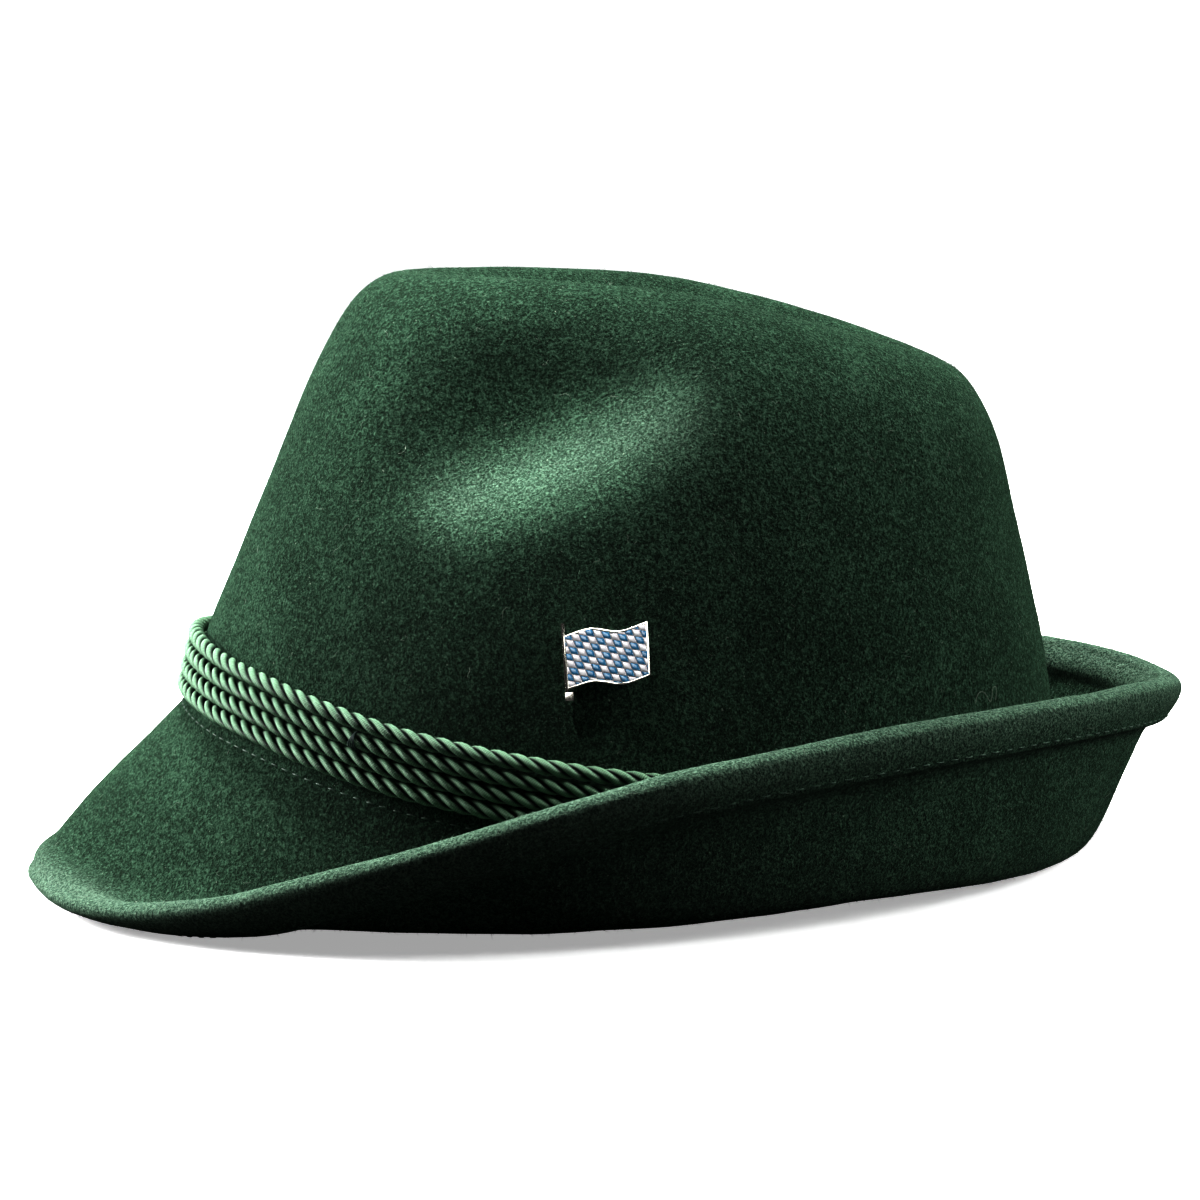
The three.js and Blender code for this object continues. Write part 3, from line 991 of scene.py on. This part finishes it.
def stage():
    bpy.ops.object.select_all(action="DESELECT")
    bpy.ops.mesh.primitive_plane_add(size=60, location=(0, 0, -0.00005))
    floor = bpy.context.active_object
    floor.name = "studio_floor"
    paper = Recipe("white paper floor", Roughness=0.9, Specular_IOR_Level=0.0)
    where = paper.place()
    grain = paper.noise(where, 400.0, 2.0)
    seen = paper.node("ShaderNodeLightPath", output="Is Camera Ray")
    bright = paper.mix(grain, (0.86, 0.86, 0.86), (0.88, 0.88, 0.88))
    paper.feed("Base Color", paper.mix(seen, (0.06, 0.06, 0.06), bright))
    paper.feed("Emission Color", paper.mix(seen, (0.0, 0.0, 0.0), (0.52, 0.52, 0.52)))
    paper.shader.inputs["Emission Strength"].default_value = 1.0
    floor.data.materials.append(paper.material)
    world = bpy.data.worlds.new("white studio")
    bpy.context.scene.world = world
    world.use_nodes = True
    tree = world.node_tree
    sky = tree.nodes["Background"]
    ray = tree.nodes.new("ShaderNodeLightPath")
    blend = tree.nodes.new("ShaderNodeMix")
    tree.links.new(ray.outputs["Is Camera Ray"], blend.inputs[0])
    blend.inputs[2].default_value = 0.010
    blend.inputs[3].default_value = 1.6
    tree.links.new(blend.outputs[0], sky.inputs["Strength"])
    sky.inputs["Color"].default_value = (1, 1, 1, 1)


def softbox(name, place, target, size, power):
    light = bpy.data.lights.new(name, "AREA")
    light.shape = "RECTANGLE"
    light.size, light.size_y = size
    light.energy = power
    lamp = bpy.data.objects.new(name, light)
    lamp.location = place
    lamp.rotation_euler = (Vector(place) - Vector(target)).to_track_quat("Z", "Y").to_euler()
    lamp.visible_camera = False
    bpy.context.scene.collection.objects.link(lamp)
    return lamp


def spot(name, place, target, degrees, power):
    """A soft-edged spot light."""
    light = bpy.data.lights.new(name, "SPOT")
    light.energy = power
    light.spot_size = math.radians(degrees)
    light.spot_blend = 1.0
    light.shadow_soft_size = 0.03
    lamp = bpy.data.objects.new(name, light)
    lamp.location = place
    lamp.rotation_euler = (Vector(place) - Vector(target)).to_track_quat("Z", "Y").to_euler()
    bpy.context.scene.collection.objects.link(lamp)


def lights():
    softbox("top softbox", (-0.20, -0.10, 0.95), (0, 0, 0.08), (0.30, 0.45), 25)
    softbox("front softbox", (-0.30, -0.95, 0.50), (0, 0, 0.07), (0.4, 0.5), 36)
    softbox("back softbox", (0.25, 1.0, 0.45), (0, 0.05, 0.05), (0.4, 0.5), 15)
    spot("dent spot", DENT_SPOT, DENT_MIDDLE, 3.6, 170)
    pin_light = softbox("pin light", (0.75, -0.15, 0.35), (0.08, 0, 0.07), (0.35, 0.35), 3.0)
    pin_only = bpy.data.collections.new("lit by the pin light")
    for name in ("enamel_blue", "enamel_white", "groove_shade_sheet", "flag_setting"):
        pin_only.objects.link(bpy.data.objects[name])
    pin_light.light_linking.receiver_collection = pin_only
    sun = bpy.data.lights.new("overhead", "SUN")
    sun.energy = 1.9
    sun.angle = math.radians(60)
    lamp = bpy.data.objects.new("overhead", sun)
    bpy.context.scene.collection.objects.link(lamp)
    floor_only = bpy.data.collections.new("lit from overhead")
    floor_only.objects.link(bpy.data.objects["studio_floor"])
    lamp.light_linking.receiver_collection = floor_only


def camera():
    lens = bpy.data.cameras.new("camera")
    lens.lens = CAMERA_LENS
    lens.sensor_width = SENSOR
    lens.clip_start = 0.01
    lens.clip_end = 100
    eye = bpy.data.objects.new("camera", lens)
    right = Vector(CAMERA_RIGHT).normalized()
    up = Vector(CAMERA_UP).normalized()
    eye.matrix_world = Matrix((right, up, right.cross(up))).transposed().to_4x4()
    eye.location = CAMERA_PLACE
    bpy.context.scene.collection.objects.link(eye)
    bpy.context.scene.camera = eye


camera()
stage()
look = bpy.context.scene.view_settings
look.view_transform = "Standard"
look.gamma = 0.62

hat = felt_hat(felt_finish())
surface = BVHTree.FromObject(hat, bpy.context.evaluated_depsgraph_get())
satin = cord_finish()
cores = [twisted_cord(number, satin) for number in (1, 2, 3, 4)]
thread = thread_finish("green sewing thread", (0.028, 0.075, 0.050), (0.085, 0.165, 0.110))
band_stitches(surface, cores[0], thread)
thread_tie(cores[2], thread_finish("teal thread", (0.006, 0.030, 0.026), (0.020, 0.070, 0.058)))
welt_stitches(surface, thread)
flag_pin(
    metal_finish(),
    enamel_finish("blue enamel", (0.008, 0.125, 0.260), (0.025, 0.205, 0.370)),
    enamel_finish("white enamel", (0.58, 0.55, 0.58), (0.76, 0.74, 0.75)),
    # The dark sheet in the grooves between the cells: painted shade
    enamel_finish("painted groove shade", (0.010, 0.020, 0.035), (0.020, 0.035, 0.055)),
)
for row in FIBRES:
    short_fibres(hat, **row)
curled_hairs(hat, **HAIRS)
single_hair(surface)
lights()
